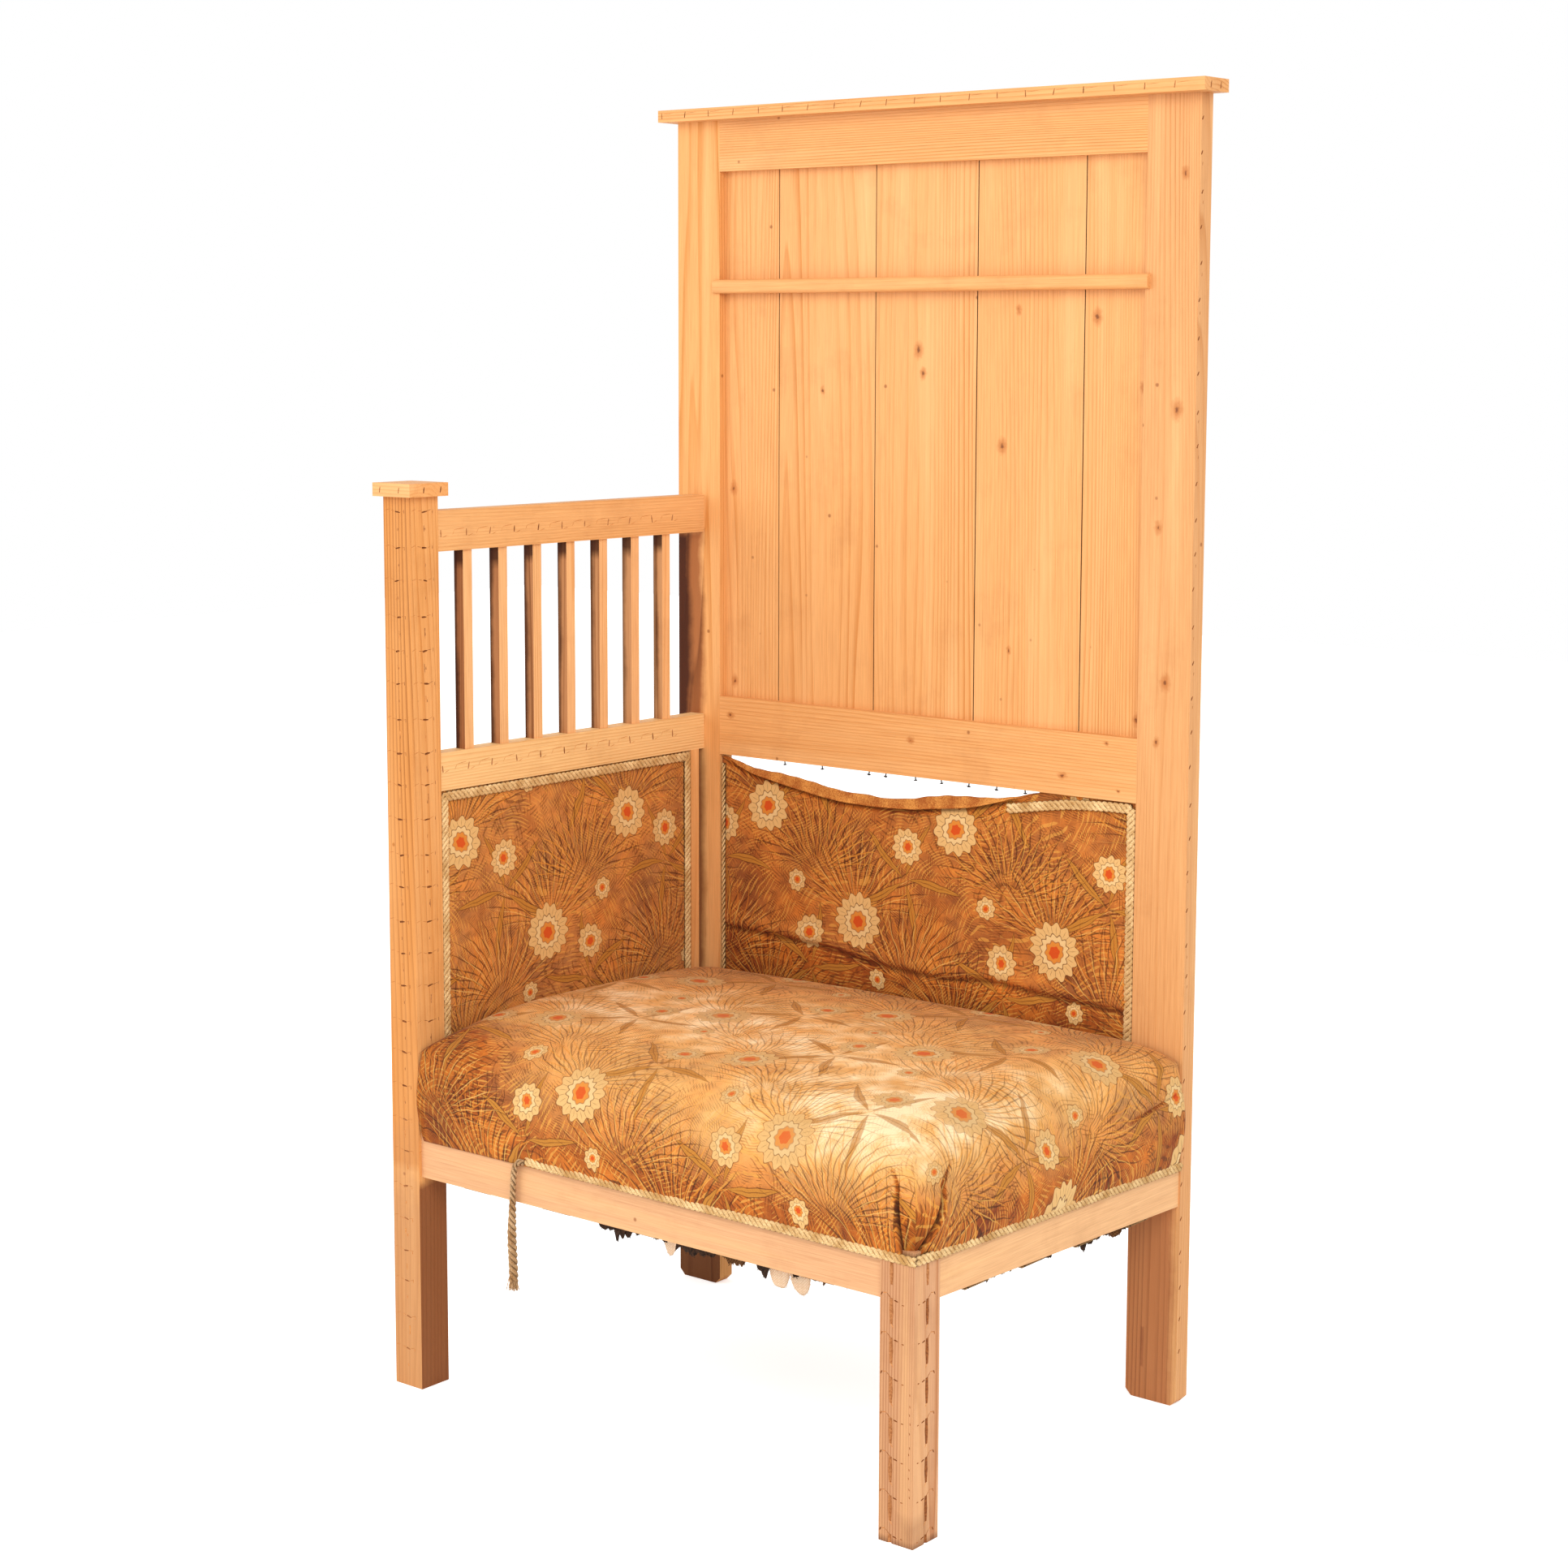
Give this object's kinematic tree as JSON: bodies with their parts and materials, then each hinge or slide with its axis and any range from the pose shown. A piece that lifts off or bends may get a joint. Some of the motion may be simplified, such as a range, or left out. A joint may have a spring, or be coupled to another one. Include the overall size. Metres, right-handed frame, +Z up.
{
  "type": "corner settle",
  "caption": "High-backed corner settle with a boarded back, a spindled arm on the left and a sprung, stuffed seat.",
  "frame": {"origin": "on the floor, below the middle of the settle's overall box, the loose braid left out", "axes": "+X towards the open side, away from the arm; +Y from the sitter towards the wall; +Z up"},
  "size_m": [0.924, 0.646, 1.767],
  "materials": {
    "pine": "stripped and waxed pine",
    "fixings": "old cut nails and tacks, tarnished",
    "springs": "coppered spring wire, dulled",
    "webbing": "woven jute webbing",
    "hessian": "coarse jute hessian",
    "stuffing": "curled hair stuffing",
    "printed_cloth": "printed cotton twill",
    "braid": "cream looped gimp braid"
  },
  "bodies": {
    "root": {"back_stile_left": "pine", "back_stile_right": "pine", "back_top_rail": "pine", "back_mid_rail": "pine", "back_seat_rail": "pine", "back_board_1": "pine", "back_board_2": "pine", "back_board_3": "pine", "back_board_4": "pine", "back_board_5": "pine", "plate_rail": "pine", "cornice_cap": "pine", "arm_post": "pine", "arm_post_cap": "pine", "arm_top_rail": "pine", "arm_mid_rail": "pine", "arm_spindle_1": "pine", "arm_spindle_2": "pine", "arm_spindle_3": "pine", "arm_spindle_4": "pine", "arm_spindle_5": "pine", "arm_spindle_6": "pine", "arm_spindle_7": "pine", "arm_rear_stile": "pine", "front_leg": "pine", "seat_front_rail": "pine", "seat_side_rail_left": "pine", "seat_side_rail_right": "pine", "corner_blocks": "pine", "board_nails": "fixings", "back_tacks": "fixings", "seat_springs": "springs", "seat_webbing_long": "webbing", "seat_webbing_cross": "webbing", "back_webbing": "webbing", "arm_webbing": "webbing", "seat_hessian": "hessian", "back_hessian": "hessian", "arm_hessian": "hessian", "arm_outside_cloth": "hessian", "torn_lining": "hessian", "seat_stuffing": "stuffing", "back_stuffing": "stuffing", "arm_stuffing": "stuffing", "seat_cover": "printed_cloth", "back_cover": "printed_cloth", "arm_cover": "printed_cloth", "braid_seat_front": "braid", "braid_seat_side": "braid", "braid_back_left": "braid", "braid_back_right": "braid", "braid_arm": "braid", "braid_loose_end": "braid"}
  },
  "joints": []
}
